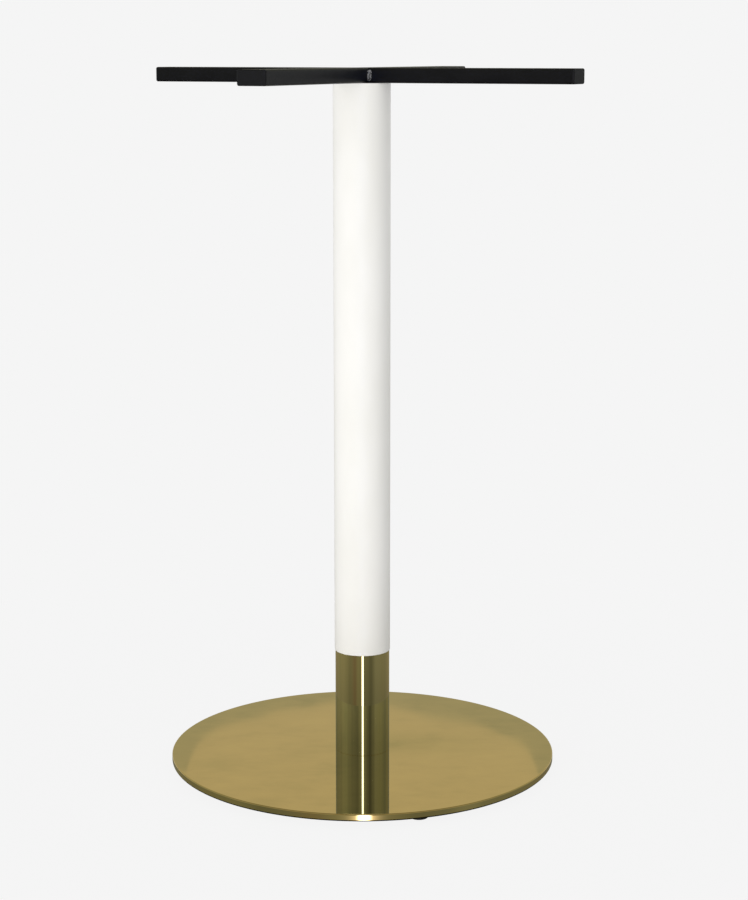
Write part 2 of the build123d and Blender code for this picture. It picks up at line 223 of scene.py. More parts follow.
# A tall narrow light just behind the camera draws the bright line down the polished sleeve. Its spread, a
# glow on the floor in front, makes the bright spot on the disc's rim. Both are bluish to turn white in gold.
strip_strength = 9.0
spread_strength = 5.2
off_strip = add(sky, "Math", {0: azimuth, 1: 0.9 * degree}, operation="SUBTRACT")
off_strip = add(sky, "Math", {0: off_strip}, operation="ABSOLUTE")
strip = within(strip_strength, (off_strip, 0.8, 5.4), (elevation, 24, 34), (elevation, -21.4, -24))
spread = add(sky, "Math", {0: off_strip, 1: -3.2 * degree}, operation="DIVIDE")
spread = add(sky, "Math", {0: spread}, operation="EXPONENT")
spread = add(sky, "Math", {0: spread, 1: spread_strength}, operation="MULTIPLY")
spread = within(spread, (elevation, -19.8, -18.5), (elevation, -21.4, -24))
for strength, colour in ((strip, "#c3cdff"), (spread, "#f2e9ff")):
    light = add(sky, "Mix", {0: 1.0, 6: strength, 7: colour}, blend_type="MULTIPLY", **in_colour)
    room = add(sky, "Mix", {0: 1.0, 6: room, 7: light}, blend_type="ADD", **in_colour)
cooler = add(sky, "CombineXYZ", {"X": 0.74, "Y": 1.04, "Z": 2.1})
cooled = add(sky, "Mix", {0: 1.0, 6: room, 7: cooler}, blend_type="MULTIPLY", **in_colour)
room = add(sky, "Mix", {0: second_meeting, 6: room, 7: cooled}, **in_colour)

# Matt surfaces are lit by an even grey from all round, and the camera sees the plain backdrop.
even_grey = "#b6b6b5"
backdrop = "#f5f5f5"
seen = add(sky, "Mix", {0: rays["Is Glossy Ray"], 6: even_grey, 7: room}, **in_colour)
seen = add(sky, "Mix", {0: rays["Is Camera Ray"], 6: seen, 7: backdrop}, **in_colour)
add(sky, "OutputWorld", {"Surface": add(sky, "Background", {"Color": seen})})


def area_light(name, turn, height, distance, size, power, colour):
    """A soft rectangle aimed at the column's middle, turned from the camera by an angle, left negative."""
    data = bpy.data.lights.new(name, "AREA")
    data.shape = "RECTANGLE"
    data.size, data.size_y = size
    data.energy = power
    data.color = linear(colour)[:3]
    light = bpy.data.objects.new(name, data)
    angle = camera_turn + math.radians(turn)
    aim_height = 0.5
    light.location = (distance * math.sin(angle), -distance * math.cos(angle), height)
    light.rotation_euler = (math.pi / 2 - math.atan2(height - aim_height, distance), 0, angle)
    light.visible_glossy = False
    light.visible_camera = False
    bpy.context.scene.collection.objects.link(light)


area_light("key_light", turn=-31, height=0.5, distance=4.6, size=(2.0, 0.85), power=99, colour="#fffefb")
area_light("fill_light", turn=48, height=0.5, distance=2.6, size=(1.2, 0.6), power=3.5, colour="#ffffff")

# The floor is white seamless paper, lit so evenly that it runs into the backdrop. Only a faint soft
# shadow shows near the foot, so the paper glows by itself and takes a little of the key light there.
paper = bpy.data.materials.new("seamless_paper_white")
paper.use_nodes = True
tree = paper.node_tree
tree.nodes.clear()
place = add(tree, "TexCoord", output="Object")
reach = add(tree, "VectorMath", {0: place}, output="Value", operation="LENGTH")
fibre = add(tree, "TexNoise", {"Vector": place, "Scale": 900.0, "Detail": 2.0}, output="Fac")
fibre = add(tree, "ValToRGB", {0: fibre}, stops=[(0.3, "#f4f4f4"), (0.7, "#f6f6f6")], easing="LINEAR")

# Near the foot, a share of the paper's light comes from the key light, which alone would light it to the
# level below. The share runs out towards the shadow's end.
shadow_start, shadow_end = 0.35, 1.1
key_share = 0.05
key_level = 0.6
own_glow = scaled(reach, shadow_start, shadow_end, 1 - key_share * key_level, 1.0)
key_catch = scaled(reach, shadow_start, shadow_end, key_share, 0.0)
glow = add(tree, "Emission", {"Color": fibre, "Strength": add(tree, "MapRange", own_glow, **eased)})
catching = add(tree, "MapRange", key_catch, **eased)
matt_tone = add(tree, "Mix", {0: catching, 6: "#000000", 7: "#f7f7f7"}, **in_colour)
lit = add(tree, "AddShader", {0: glow, 1: add(tree, "BsdfDiffuse", {"Color": matt_tone})})
from_below = add(tree, "NewGeometry", output="Backfacing")
one_sided = add(tree, "MixShader", {0: from_below, 1: lit, 2: add(tree, "BsdfTransparent")})
add(tree, "OutputMaterial", {"Surface": one_sided})

floor_reach = 30.0
floor_corners = [(x * floor_reach, y * floor_reach, 0) for x, y in ((-1, -1), (1, -1), (1, 1), (-1, 1))]
floor_mesh = bpy.data.meshes.new("floor")
floor_mesh.from_pydata(floor_corners, [], [(0, 1, 2, 3)])
floor_mesh.materials.append(paper)
floor = bpy.data.objects.new("floor", floor_mesh)
floor.visible_glossy = False
bpy.context.scene.collection.objects.link(floor)


# Base plate: an 8 mm steel disc, cut and turned, that gives the foot its weight. It is coated matt black,
# with four tapped holes for the feet and four countersunk ones for the foot plug's screws.
MM = 0.001


def finish(name):
    """A new material, and its empty node tree."""
    material = bpy.data.materials.new(name)
    material.use_nodes = True
    material.node_tree.nodes.clear()
    return material, material.node_tree


def surface(tree, **inputs):
    """The tree's one surface shader, with its inputs by name, spaces written as underscores."""
    named = {name.replace("_", " "): value for name, value in inputs.items()}
    add(tree, "OutputMaterial", {"Surface": add(tree, "BsdfPrincipled", named)})


def grain(tree, size, turn=0.0, detail=2.0, roughness=0.5):
    """Noise over the object whose features are size (x, y, z) millimetres large, turned about Z."""
    place = add(tree, "TexCoord", output="Object")
    spun = add(tree, "Mapping", {"Vector": place, "Rotation": (0, 0, -turn)})
    stretched = add(tree, "Mapping", {"Vector": spun, "Scale": tuple(1 / (s * MM) for s in size)})
    inputs = {"Vector": stretched, "Scale": 1.0, "Detail": detail, "Roughness": roughness}
    return add(tree, "TexNoise", inputs, output="Fac")


def from_noise(noise, low, high):
    """Inputs for a Map Range node that spreads noise, which mostly lies from 0.3 to 0.7, over low to high."""
    return scaled(noise, 0.3, 0.7, low, high)


def coat(material, *nodes):
    """Gives CAD nodes a material in every slot."""
    for node in nodes:
        for material_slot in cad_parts[node].material_slots:
            material_slot.material = material


# Matt powder coat on steel: the eye sees a dull, finely pebbled black with no clear reflection. The
# pebble is 0.6 mm across, and drawn at 1.2 mm so that a render from a metre away can show it.
plate_coat, tree = finish("matt_powder_coat_black")
pebble = grain(tree, (1.2, 1.2, 1.2))
patches = grain(tree, (60, 60, 60))
surface(
    tree,
    Base_Color=add(tree, "ValToRGB", {0: patches}, stops=[(0.35, "#1d1d1e"), (0.65, "#262627")]),
    Roughness=add(tree, "MapRange", from_noise(pebble, 0.62, 0.74)),
    Normal=add(tree, "Bump", {"Height": pebble, "Distance": 0.06 * MM}),
)
coat(plate_coat, "base_plate")


# Spun cover: a 1 mm gold coloured sheet, line grained and polished, pressed over the plate with its edge
# rolled in underneath. It is one surface of revolution with a flat, mirror bright top.
def rounded_profile(corners, steps=8, near=0.08):
    """A closed (radius, height) outline from (r, z, bend) corners in millimetres.

    Each bend is an arc tangent to both sides: the arc's points turn evenly from one side's direction to
    the other's. One point more stands a little before and after each arc, so that the flats shade flat.
    """
    points = np.array(corners, float)[:, :2]
    outline = []
    for i, (r, z, bend) in enumerate(corners):
        here = np.array([r, z])
        back = points[i - 1] - here
        ahead = points[(i + 1) % len(points)] - here
        back /= np.linalg.norm(back)
        ahead /= np.linalg.norm(ahead)
        half = math.acos(np.clip(back @ ahead, -1, 1)) / 2
        reach = bend / math.tan(half)
        centre = here + (back + ahead) / np.linalg.norm(back + ahead) * (bend / math.sin(half))
        spoke = here + back * reach - centre
        side = 1 if back[0] * ahead[1] - back[1] * ahead[0] < 0 else -1
        turn = side * (math.pi - 2 * half) * np.linspace(0, 1, steps)[:, None]
        across = np.array([-spoke[1], spoke[0]])
        arc = centre + spoke * np.cos(turn) + across * np.sin(turn)
        outline += [here + back * (reach + near), *arc, here + ahead * (reach + near)]
    return np.array(outline)


def mesh_piece(name, points, faces, material, body, replaced=(), smooth=30):
    """A finished piece from points in millimetres and faces: merged where points meet, faces outwards."""
    mesh = bpy.data.meshes.new(name)
    mesh.from_pydata((points.reshape(-1, 3) * MM).tolist(), [], faces)
    build = bmesh.new()
    build.from_mesh(mesh)
    bmesh.ops.remove_doubles(build, verts=build.verts, dist=1e-7)
    bmesh.ops.delete(build, geom=[v for v in build.verts if not v.link_faces], context="VERTS")
    bmesh.ops.recalc_face_normals(build, faces=build.faces)
    if build.calc_volume(signed=True) < 0:
        bmesh.ops.reverse_faces(build, faces=build.faces)
    build.to_mesh(mesh)
    build.free()
    mesh.shade_smooth()
    mesh.set_sharp_from_angle(angle=smooth * degree)
    mesh.materials.append(material)
    piece = bpy.data.objects.new(name, mesh)
    bpy.context.scene.collection.objects.link(piece)
    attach(piece, body)
    if replaced:
        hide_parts(*replaced)


def grid_faces(points, closed_rows=False, ends=False):
    """Quads between neighbouring rows of a grid of points whose columns run round and meet.

    closed_rows joins the last row to the first. ends closes the first and last row with one face each.
    """
    rows, columns = points.shape[:2]
    row = np.arange(rows if closed_rows else rows - 1)[:, None]
    column = np.arange(columns)[None, :]
    next_row, next_column = (row + 1) % rows * columns, (column + 1) % columns
    corners = (row * columns + column, row * columns + next_column, next_row + next_column, next_row + column)
    faces = np.stack(np.broadcast_arrays(*corners), axis=-1).reshape(-1, 4).tolist()
    if ends:
        faces += [list(range(columns)), list(range((rows - 1) * columns, rows * columns))]
    return faces


def revolved_piece(name, corners, around, material, node):
    """A ring in a CAD node's place: each (r, z) of its outline goes round to (r cos t, r sin t, z)."""
    profile = rounded_profile(corners)
    angle = np.arange(around) * 2 * math.pi / around
    r, z = profile[:, :1], np.broadcast_to(profile[:, 1:], (len(profile), around))
    points = np.stack([r * np.cos(angle), r * np.sin(angle), z], axis=-1)
    mesh_piece(name, points, grid_faces(points, closed_rows=True), material, "pedestal", [node])


# Gold coloured coating on line grained, polished sheet: a clear mirror with faint long streaks, a little
# cloudiness from hand polishing, and a warm olive gold. The grain is 0.1 mm wide and drawn at 0.9 mm.
def polished_gold(name, size, cloud_size, turn, relief):
    """Polished metal with its tone and a faint relief streaked along the grain, and slow cloudy changes."""
    material, tree = finish(name)
    streak = grain(tree, size, turn, detail=3.0, roughness=0.6)
    cloud = grain(tree, cloud_size, turn, detail=3.0, roughness=0.6)
    tone = add(tree, "ValToRGB", {0: streak}, stops=[(0.3, "#e2c57a"), (0.7, "#e5c97e")], easing="LINEAR")
    cloud_stops = [(0.3, "#f0f2ef"), (0.5, "#fafafa"), (0.7, "#ffffff")]
    clouds = add(tree, "ValToRGB", {0: cloud}, stops=cloud_stops, easing="LINEAR")
    surface(
        tree,
        Base_Color=add(tree, "Mix", {0: 1.0, 6: tone, 7: clouds}, blend_type="MULTIPLY", **in_colour),
        Metallic=1.0,
        Roughness=add(tree, "MapRange", from_noise(cloud, 0.02, 0.04)),
        Normal=add(tree, "Bump", {"Height": streak, "Distance": relief * MM}),
    )
    return material


cover_gold = polished_gold(
    "gold_coated_sheet_line_grained",
    size=(50, 0.9, 0.9),
    cloud_size=(70, 45, 45),
    turn=25.8 * degree,
    relief=0.0002,
)
cover_radius = 270.0
cover_top = 19.0
cover_bottom = 9.0
cover_wall = 1.0
lip_radius = 263.0
plug_hole_radius = 36.55
upper_bend, lower_bend, inner_bend = 1.6, 2.1, 0.6
cover_corners = [
    (plug_hole_radius, cover_top, 0.15),
    (cover_radius, cover_top, upper_bend),
    (cover_radius, cover_bottom, lower_bend),
    (lip_radius, cover_bottom, 0.3),
    (lip_radius, cover_bottom + cover_wall, 0.1),
    (cover_radius - cover_wall, cover_bottom + cover_wall, inner_bend),
    (cover_radius - cover_wall, cover_top - cover_wall, inner_bend),
    (plug_hole_radius, cover_top - cover_wall, 0.15),
]
revolved_piece("cover", cover_corners, 720, cover_gold, "base_cover")


# Foot plug, coupling collar and top spigot: turned steel, left bright and oiled, all hidden inside the
# tubes. Four countersunk screws hold the plug from below, through the plate.
#
# Turned and oiled steel: a soft grey gleam, broken up by turning lines 0.3 mm apart and by oil that lies in
# patches a centimetre wide.
turned_steel, tree = finish("turned_steel_oiled")
groove = grain(tree, (20, 20, 0.3), detail=1.0)
oil = grain(tree, (12, 12, 12))
surface(
    tree,
    Base_Color=add(tree, "ValToRGB", {0: oil}, stops=[(0.3, "#a3a29e"), (0.7, "#b4b3b0")]),
    Metallic=1.0,
    Roughness=add(tree, "MapRange", from_noise(groove, 0.28, 0.42)),
    Normal=add(tree, "Bump", {"Height": groove, "Distance": 0.01 * MM}),
)
coat(turned_steel, "foot_plug", "coupling_collar", "top_spigot")

# Zinc plate, blue passivated: a pale cool metal with a faint cloudy iridescence and a soft reflection.
# The clouds are 4 mm across, and the crystals are fine and drawn at 0.5 mm.
zinc_steel, tree = finish("zinc_plated_steel")
cloud = grain(tree, (4, 4, 4), detail=3.0)
crystal = grain(tree, (0.5, 0.5, 0.5))
iridescence = [(0.3, "#aeb1b6"), (0.5, "#bcbdbd"), (0.7, "#b9b7ae")]
surface(
    tree,
    Base_Color=add(tree, "ValToRGB", {0: cloud}, stops=iridescence),
    Metallic=1.0,
    Roughness=add(tree, "MapRange", from_noise(crystal, 0.3, 0.42)),
    Normal=add(tree, "Bump", {"Height": crystal, "Distance": 0.006 * MM}),
)
coat(zinc_steel, *(f"foot_screw_{number}" for number in range(1, 5)), "rod_spring_washer")


# Levelling feet: a black moulded pad with a spanner hexagon, on an M8 zinc plated stud that screws up into
# the base plate. They turn down by up to 4.5 mm each.
def hexagon(angle, flats):
    """A hexagon's radius at an angle, corners on X: half its flats over the cosine from a flat's middle."""
    return flats / 2 / np.cos(angle % (math.pi / 3) - math.pi / 6)


def thread(angle, height, radius, pitch, depth):
    """A screw thread's radius: it falls and rises by depth once per pitch, shifted by each part turn."""
    phase = (height / pitch - angle / (2 * math.pi)) % 1.0
    return radius - depth * np.clip(1.15 - np.abs(2 * phase - 1) * 1.3, 0, 1)


def turns(steps):
    """Angles for so many steps round."""
    return np.arange(steps) * 2 * math.pi / steps


def around_points(radius, height, centre=(0, 0)):
    """Points at a radius for each angle and each row, at each row's height, about an upright axis."""
    angle = turns(radius.shape[1])
    x = centre[0] + radius * np.cos(angle)
    y = centre[1] + radius * np.sin(angle)
    return np.stack([x, y, np.broadcast_to(height[:, None], radius.shape)], axis=-1)


# Moulded polyamide: black, with a fine spark eroded skin that scatters light into a soft grey sheen. The
# skin's grain is 0.2 mm and drawn at 0.6 mm.
pad_plastic, tree = finish("moulded_polyamide_black")
skin = grain(tree, (0.6, 0.6, 0.6))
surface(
    tree,
    Base_Color=add(tree, "ValToRGB", {0: skin}, stops=[(0.3, "#0c0c0d"), (0.7, "#121213")]),
    Roughness=add(tree, "MapRange", from_noise(skin, 0.48, 0.62)),
    Specular_IOR_Level=0.3,
    Normal=add(tree, "Bump", {"Height": skin, "Distance": 0.04 * MM}),
)

# The pad as rows of (radius, height) from its hollow underside, round its 25 mm wide foot and up to the
# spanner hexagon, whose corners are turned off, and then down into the stud's bore.
pad_turns = turns(96)
pad_bend = 1.2
pad_arc = np.linspace(0, math.pi / 2, 6)
pad_rows = [(0.001, 0.9), (7.0, 0.9), (7.6, 0.35), (8.2, 0.0), (11.0, 0.0)]
pad_rows += [(11.3 + pad_bend * math.sin(a), pad_bend - pad_bend * math.cos(a)) for a in pad_arc]
pad_rows += [(11.3 + pad_bend * math.cos(a), 4.8 + pad_bend * math.sin(a)) for a in pad_arc]
hex_rows = [(0.0, 6.0), (0.0, 6.1), (0.0, 9.5), (-0.12, 9.85), (-0.4, 10.0)]
hex_turned_off = np.array([10.9, 10.9, 10.75, 10.5, 10.1])
bore_rows = [(4.35, 10.0), (4.05, 9.7), (4.05, 5.56), (0.001, 5.56)]
pad_hexagon = 19.0
round_radius = np.array([r for r, z in pad_rows])[:, None] + 0 * pad_turns
hex_radius = np.array([r for r, z in hex_rows])[:, None] + hexagon(pad_turns, pad_hexagon)
hex_radius = np.minimum(hex_radius, hex_turned_off[:, None])
bore_radius = np.array([r for r, z in bore_rows])[:, None] + 0 * pad_turns
pad_radius = np.concatenate([round_radius, hex_radius, bore_radius])
pad_height = np.array([z for r, z in pad_rows + hex_rows + bore_rows])

# The stud: a 13 mm hexagon moulded into the pad, an undercut, and an M8 thread with a pointed end.
stud_radius_out, stud_pitch, stud_depth = 4.0, 1.25, 0.62
stud_hexagon = 13.0
stud_undercut = 3.6
stud_top = 17.5
stud_point = 3.2
stud_height = np.concatenate([[2.5, 5.5, 5.5], np.arange(5.6, stud_top, 0.1), [stud_top]])
stud_radius = thread(turns(72), stud_height[:, None], stud_radius_out, stud_pitch, stud_depth)
stud_radius[:2] = hexagon(turns(72), stud_hexagon)
stud_radius[2] = stud_undercut
stud_limit = np.where(stud_height < 5.55, 9.0, stud_top - stud_height + stud_point)
stud_radius = np.minimum(stud_radius, stud_limit[:, None])
for number in range(1, 5):
    pad_low, pad_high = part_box(f"glide_pad_{number}")
    middle = [(low + high) / 2 / MM for low, high in zip(pad_low[:2], pad_high[:2])]
    for name, radius, height, material, slot, node in (
        ("foot_pad", pad_radius, pad_height, pad_plastic, "pad_plastic", "glide_pad"),
        ("foot_stud", stud_radius, stud_height, zinc_steel, "zinc_steel", "glide_stud"),
    ):
        points = around_points(radius, height, middle)
        faces = grid_faces(points, ends=True)
        replaced = [f"{node}_{number}"]
        mesh_piece(f"{name}_{number}", points, faces, material, f"glide_{number}", replaced)

# Sleeve: a short thin walled tube in the same gold finish, cut square and broken at its edges. It stands
# on the cover round the foot plug, and carries the column's weight. Its grain runs up and down.
sleeve_gold = polished_gold(
    "gold_coated_tube_polished_along",
    size=(0.9, 0.9, 110),
    cloud_size=(5, 5, 400),
    turn=0.0,
    relief=0.0001,
)
sleeve_radius, sleeve_bore = 38.05, 36.55
sleeve_top = 165.0
sleeve_break, tube_burr = 0.35, 0.15
sleeve_corners = [
    (sleeve_radius, cover_top, sleeve_break),
    (sleeve_radius, sleeve_top, sleeve_break),
    (sleeve_bore, sleeve_top, tube_burr),
    (sleeve_bore, cover_top, tube_burr),
]
revolved_piece("sleeve_tube", sleeve_corners, 384, sleeve_gold, "sleeve")

# Column: a 78 mm steel tube, cut square, its edges rounded, and powder coated. It rests on the sleeve and
# covers its edge by about a millimetre.
#
# Semi gloss powder coat: a warm white with the slight waviness of paint that flowed out in an oven, its
# waves 3 to 4 mm long.
white_coat, tree = finish("semi_gloss_powder_coat_white")
peel = grain(tree, (3.5, 3.5, 3.5), detail=1.0)
patches = grain(tree, (50, 50, 120))
surface(
    tree,
    Base_Color=add(tree, "ValToRGB", {0: patches}, stops=[(0.3, "#efeeea"), (0.7, "#f3f2ef")]),
    Roughness=add(tree, "MapRange", from_noise(peel, 0.42, 0.5)),
    Specular_IOR_Level=0.4,
    Normal=add(tree, "Bump", {"Height": peel, "Distance": 0.03 * MM}),
)
column_radius, column_bore = 39.0, 37.0
column_top = 953.0
column_edge = 0.7
column_corners = [
    (column_radius, sleeve_top, column_edge),
    (column_radius, column_top, column_edge),
    (column_bore, column_top, tube_burr),
    (column_bore, sleeve_top, tube_burr),
]
revolved_piece("column", column_corners, 384, white_coat, "column_tube")


# Cross: 40 by 20 by 2 mm rectangular steel tube. One bar runs through and two half arms butt against its
# sides. Each has two screw holes for the table top, and the bar has a wide one over the rod's nut.
bar_middle = 963.0
bar_end = 307.0
bar_half_width = 20.0
outside_section = (bar_half_width, 10.0, 2.6)
inside_section = (18.0, 8.0, 0.8)
flat_reach = 17.2
hole_steps = np.array([-15.0, -12.4, -10.5, -8.0, -6.0, -4.4, -2.9, -2.0, -1.0])
hole_squares = {14.0: (12.4, 17.2), 6.5: (6.0, 12.4), 3.25: (2.9, 8.0)}


def box_tube(start, end, holes):
    """Points and faces of a rectangular tube along X, outside and inside, with round holes through it.

    Outside and inside are the same grid: places round a rounded rectangle, times stations along X. At a
    hole, a square block of cells is left out, and the grid round it is pushed towards a circle: a point
    as far out as the block lands on the circle, and one at the edge of the wider square stays. Both
    squares' half sides are in hole_squares for each radius. Quads join the two grids round every hole
    and at both ends. A hole is (x, radius in the top wall, radius in the bottom wall).
    """
    across = np.concatenate([[-flat_reach], hole_steps, [0.0], -hole_steps[::-1], [flat_reach]])
    stations = [start, start + 1, end - 1, end]
    stations += [x + step for x, *_ in holes for step in (*hole_steps, 0.0, *-hole_steps)]
    stations += np.linspace(start, end, 9)[1:-1].tolist()
    stations = np.unique(np.round([x for x in stations if start <= x <= end], 3))
    turn = np.linspace(0, math.pi / 2, 8)

    def section(half_width, half_height, bend):
        """One rounded rectangle, from the top flat round by the sides, as (y, z) points."""
        corner = np.stack([bend * np.sin(turn), bend * np.cos(turn)], axis=-1)
        middle = np.array([half_width - bend, half_height - bend])
        flat_y = across * (half_width - bend) / flat_reach
        top = np.stack([flat_y, np.full(len(across), half_height)], axis=-1)
        right = middle + corner
        ring = np.concatenate([top, right[1:], (right * [1, -1])[::-1], -top[1:]])
        return np.concatenate([ring, (right * -1)[1:], (right * [-1, 1])[::-1][:-1]])

    walls = [section(*outside_section), section(*inside_section)]
    grids = []
    open_cells = np.zeros((len(walls[0]), len(stations) - 1), bool)
    for ring in walls:
        x = np.broadcast_to(stations, (len(ring), len(stations))).copy()
        y = np.broadcast_to(ring[:, :1], x.shape).copy()
        z = np.broadcast_to(ring[:, 1:], x.shape)
        even_y = y.copy()
        stretch = np.abs(ring[: len(across), 0]).max() / flat_reach
        for hole_x, *radii in holes:
            for radius, side in zip(radii, (1, -1)):
                block, wide = hole_squares[radius]
                flat = np.abs(z - side * np.abs(z).max()) < 0.01
                dx, dy = x - hole_x, even_y / stretch
                square = np.maximum(np.abs(dx), np.abs(dy))
                share = np.clip((wide - square) / (wide - block), 0, 1) * flat
                length = np.maximum(np.hypot(dx, dy), 1e-6)
                grow = (1 - share) + share * radius / block * square / length
                x = np.where(share > 0, hole_x + dx * grow, x)
                y = np.where(share > 0, dy * grow + even_y * (1 - 1 / stretch) * (1 - share), y)
                inside = (square < block + 0.01) & flat
                whole = inside & np.roll(inside, -1, axis=0)
                open_cells |= whole[:, :-1] & whole[:, 1:]
        grids.append(np.stack([x, y, z + bar_middle], axis=-1))
    rows, columns = grids[0].shape[:2]
    count = rows * columns
    lower = np.arange(count).reshape(rows, columns)
    upper = np.roll(lower, -1, axis=0)
    cells = np.stack([lower[:, :-1], upper[:, :-1], upper[:, 1:], lower[:, 1:]], axis=-1)[~open_cells]
    along_edge = open_cells ^ np.roll(open_cells, 1, axis=0)
    across_edge = np.diff(open_cells.astype(int), axis=1) != 0
    edges = np.concatenate(
        [
            np.stack([lower[:, :-1], lower[:, 1:]], axis=-1)[along_edge],
            np.stack([lower[:, 1:-1], upper[:, 1:-1]], axis=-1)[across_edge],
            np.stack([lower[:, 0], upper[:, 0]], axis=-1),
            np.stack([lower[:, -1], upper[:, -1]], axis=-1),
        ]
    )
    walls_between = np.concatenate([edges, edges[:, ::-1] + count], axis=1)
    faces = np.concatenate([cells, cells + count, walls_between])
    return np.concatenate(grids).reshape(-1, 3), faces.tolist()


# Satin powder coat: a deep black that greys softly towards the light, its skin pebbled at 0.8 mm, which is
# drawn at 1.6 mm.
black_coat, tree = finish("satin_powder_coat_black")
peel = grain(tree, (1.6, 1.6, 1.6))
patches = grain(tree, (30, 30, 30))
surface(
    tree,
    Base_Color=add(tree, "ValToRGB", {0: patches}, stops=[(0.3, "#070607"), (0.7, "#0b0a0b")]),
    Roughness=add(tree, "MapRange", from_noise(peel, 0.38, 0.48)),
    Specular_IOR_Level=0.35,
    Normal=add(tree, "Bump", {"Height": peel, "Distance": 0.02 * MM}),
)
arm_holes = [(x, 3.25, 3.25) for x in (160, 280)]
rod_hole = (0, 14.0, 6.5)
bar_holes = [(-280, 3.25, 3.25), (-160, 3.25, 3.25), rod_hole, *arm_holes]
bar_points, bar_faces = box_tube(-bar_end, bar_end, bar_holes)
mesh_piece("through_bar", bar_points, bar_faces, black_coat, "pedestal", ["cross_bar"])
arm_points, arm_faces = box_tube(bar_half_width, bar_end, arm_holes)
for number, side in ((1, -1), (2, 1)):
    x, y, z = arm_points.T
    points = np.stack([-side * y, side * x, z], axis=-1)
    replaced = [f"cross_arm_{number}"]
    mesh_piece(f"half_arm_{number}", points, arm_faces, black_coat, "pedestal", replaced)


# Weld beads: one upright fillet of arc weld in each inner corner of the cross, 4 mm on a leg, its scales
# 1.4 mm apart. They were ground flush above and below and coated over, and the crests rubbed to steel. The
# light grey of those rubbed specks is also a painted glint.
bead_bottom, bead_length = 955.7, 14.6
bead_leg, bead_hollow = 4.05, 0.6
bead_root = 0.8
bead_bow = 0.35
scale_ripple, slow_ripple, bow_ripple = 67, 23, 9


def weld_bead(corner_x, corner_y):
    """A bead up the corner at (x, y), into the quarter where it points away from the axis.

    Across, the bead is a quarter round between its two feet, a little hollow in its middle. Upwards,
    each scale swells and drops off, which makes the radius ripple, the scales bow up and down, and both
    ends close in to a point. A ripple is a number of radians over the bead's length.
    """
    height = np.linspace(0, 1, 90)
    end = np.clip(1 - np.abs(2 * height - 1) ** 10, 0, 1) ** 0.5
    swell = 1 + 0.1 * np.sin(height * scale_ripple) ** 3 + 0.05 * np.sin(height * slow_ripple + corner_x)
    lean = np.linspace(-0.06, math.pi / 2 + 0.06, 20)
    radius = (swell * end)[:, None] * (bead_leg - bead_hollow * np.sin(2 * lean))
    root = -bead_root * end[:, None]
    out_x = np.concatenate([radius * np.cos(lean), root], axis=1)
    out_y = np.concatenate([radius * np.sin(lean), root], axis=1)
    bow = bead_bow * np.sin(height * bow_ripple + corner_y)[:, None]
    rise = bead_bottom + bead_length * height[:, None] + bow * (lean.mean() - np.append(lean, 0.8))
    x = corner_x + math.copysign(1, corner_x) * out_x
    y = corner_y + math.copysign(1, corner_y) * out_y
    return np.stack([x, y, rise], axis=-1)


# The same satin black, worn through to grey steel in specks on the scales' crests. The specks' light grey is
# partly a painted glint, which stands for the bead's silvery shine.
bead_coat, tree = finish("weld_bead_coat_rubbed_crests_painted_glint")
speck = grain(tree, (2.2, 2.2, 3.4), detail=3.0, roughness=0.6)
rubbed_glint = add(tree, "MapRange", scaled(speck, 0.43, 0.54), **eased)
surface(
    tree,
    Base_Color=add(tree, "Mix", {0: rubbed_glint, 6: "#101011", 7: "#a3a3a6"}, **in_colour),
    Roughness=add(tree, "MapRange", from_noise(speck, 0.42, 0.34)),
    Normal=add(tree, "Bump", {"Height": speck, "Distance": 0.1 * MM}),
)
for number, (side_x, side_y) in enumerate(((1, -1), (-1, -1), (-1, 1), (1, 1)), start=1):
    points = weld_bead(side_x * bar_half_width, side_y * bar_half_width)
    faces = grid_faces(points, ends=True)
    mesh_piece(f"weld_bead_{number}", points, faces, bead_coat, "pedestal", smooth=60)

# Tie rod: 12 mm steel, zinc plated, threaded at both ends and plain between. It screws into the foot plug,
# and a nut on a flat and a spring washer, sunk in the cross, clamps the whole column.
rod_radius_out, rod_pitch, rod_depth = 6.0, 1.75, 0.95
rod_plain_radius = 5.5
rod_end_radius = 5.0
rod_bottom, rod_top = 22.0, 971.0
plain_bottom, plain_top = 52.0, 926.0
lower_thread = np.arange(22.1, plain_bottom, 0.2)
upper_thread = np.arange(plain_top, 970.9, 0.2)
rod_height = np.concatenate([[rod_bottom], lower_thread, [52.3, 925.7], upper_thread, [rod_top]])
rod_radius = thread(turns(64), rod_height[:, None], rod_radius_out, rod_pitch, rod_depth)
plain = ((rod_height > plain_bottom) & (rod_height < plain_top))[:, None]
rod_radius = np.where(plain, rod_plain_radius, rod_radius)
rod_chamfer = np.minimum(rod_top - rod_height, rod_height - rod_bottom)[:, None] + rod_end_radius
points = around_points(np.minimum(rod_radius, rod_chamfer), rod_height)
mesh_piece("rod", points, grid_faces(points, ends=True), zinc_steel, "pedestal", ["tie_rod"])

# The flat washer is 24 mm across and 2.5 mm thick, and its upper edge is rounded from punching.
washer_corners = [(12.0, 955.0, 0.2), (12.0, 957.5, 0.5), (6.5, 957.5, 0.2), (6.5, 955.0, 0.1)]
revolved_piece("flat_washer", washer_corners, 128, zinc_steel, "rod_washer")

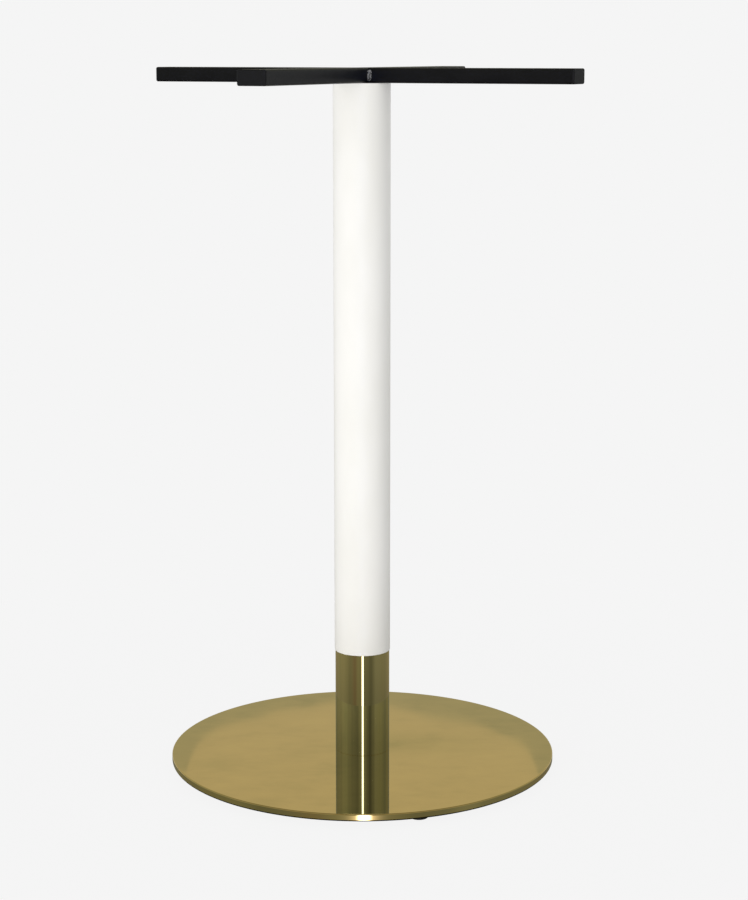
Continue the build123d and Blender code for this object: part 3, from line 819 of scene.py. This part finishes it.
# The nut is an M12, 19 mm over its flats. A 30 degree cone turns its corners off at both ends.
nut_flats = 19.0
nut_bottom, nut_top = 960, 970
nut_half = np.concatenate([[0.0], np.linspace(0.05, 0.9, 9), [1.2]])
nut_sides = np.concatenate([nut_bottom + nut_half, nut_top - nut_half[::-1]])
nut_cone = nut_flats / 2 + np.minimum(nut_sides - nut_bottom, nut_top - nut_sides) * 3**0.5
nut_radius = np.minimum(hexagon(turns(144), nut_flats), nut_cone[:, None])
nut_bore = np.array([(9.0, 970.0), (6.9, 970.0), (6.1, 969.2), (6.1, 960.8), (6.9, 960.0), (9.0, 960.0)])
nut_radius = np.concatenate([nut_radius, nut_bore[:, :1] + 0 * turns(144)])
points = around_points(nut_radius, np.concatenate([nut_sides, nut_bore[:, 1]]))
faces = grid_faces(points, closed_rows=True)
mesh_piece("clamp_nut", points, faces, zinc_steel, "pedestal", ["rod_nut"])


# End caps: black moulded plugs pushed into the bars' ends. Each has a rounded head over the tube's wall,
# and a hollow core with three thin fins that grip inside.
def rounded_rectangle(half_width, half_height, bend, corner_points=9, side_points=6):
    """A rounded rectangle's outline as (y, z) points, the same number for every size."""
    turn = np.linspace(0, math.pi / 2, corner_points)
    outline = []
    for quarter, (sy, sz) in enumerate(((1, 1), (-1, 1), (-1, -1), (1, -1))):
        angle = turn + quarter * math.pi / 2
        middle = np.array([sy * (half_width - bend), sz * (half_height - bend)])
        outline.append(middle + bend * np.stack([np.cos(angle), np.sin(angle)], axis=-1))
    sides = []
    share = np.linspace(0, 1, side_points + 1)[1:-1, None]
    for quarter in range(4):
        start, end = outline[quarter][-1], outline[(quarter + 1) % 4][0]
        sides += [outline[quarter], start + (end - start) * share]
    return np.concatenate(sides)


# Moulded polypropylene: black, slightly greyer than the coat beside it, with a fine leathery skin that is
# drawn at 1 mm.
cap_plastic, tree = finish("moulded_polypropylene_black")
skin = grain(tree, (1, 1, 1), detail=3.0)
surface(
    tree,
    Base_Color=add(tree, "ValToRGB", {0: skin}, stops=[(0.3, "#151516"), (0.7, "#1b1b1c")]),
    Roughness=add(tree, "MapRange", from_noise(skin, 0.55, 0.68)),
    Specular_IOR_Level=0.2,
    Normal=add(tree, "Bump", {"Height": skin, "Distance": 0.04 * MM}),
)

# Rows of (depth outwards from the bar's end, half width, half height, corner radius): over the rounded
# head from its middle, round the back of its rim, along the core with its fins, and into the hollow.
head_edge = 2.2
head_depth = 3.0
core = (16.4, 6.4, 0.3)
hollow = (14.9, 4.9, 0.3)
core_end = -14.0
fin_count = 3
fin_reach = 1.5
cap_rows = [(head_depth, 12.0, 2.0, 0.2), (head_depth, 17.4, 7.4, 0.35)]
for a in np.linspace(0, math.pi / 2, 7):
    out = head_edge * math.sin(a)
    cap_rows.append((0.8 + head_edge * math.cos(a), 17.8 + out, 7.8 + out, 0.4 + out))
cap_rows += [(0.35, 20.0, 10.0, 2.6), (0.0, 19.65, 9.65, 2.3), (0.0, *core)]
for fin in range(fin_count):
    fin_middle = (fin + 0.5) * core_end / fin_count
    for step, out in ((0.5, 0.0), (0.4, fin_reach), (-0.4, fin_reach), (-0.5, 0.0)):
        width, height, bend = core
        cap_rows.append((fin_middle + step, width + out, height + out, bend + out / 3))
cap_rows += [(-13.8, *core), (core_end, 16.2, 6.2, 0.3), (core_end, *hollow), (-0.5, *hollow)]
cap_sections = np.array([rounded_rectangle(*section) for _, *section in cap_rows])
cap_depth = np.array([row[0] for row in cap_rows])[:, None, None]
cap_faces = grid_faces(cap_sections, ends=True)
for number, turn in enumerate((0, 90, 180, 270), start=1):
    outward = np.array([math.cos(turn * degree), math.sin(turn * degree), 0])
    sideways = np.array([-math.sin(turn * degree), math.cos(turn * degree), 0])
    upward = np.array([0, 0, 1])
    points = (bar_end + cap_depth) * outward + cap_sections[..., :1] * sideways
    points = points + (bar_middle + cap_sections[..., 1:]) * upward
    replaced = [f"end_cap_{number}"]
    mesh_piece(f"cap_{number}", points, cap_faces, cap_plastic, "pedestal", replaced)
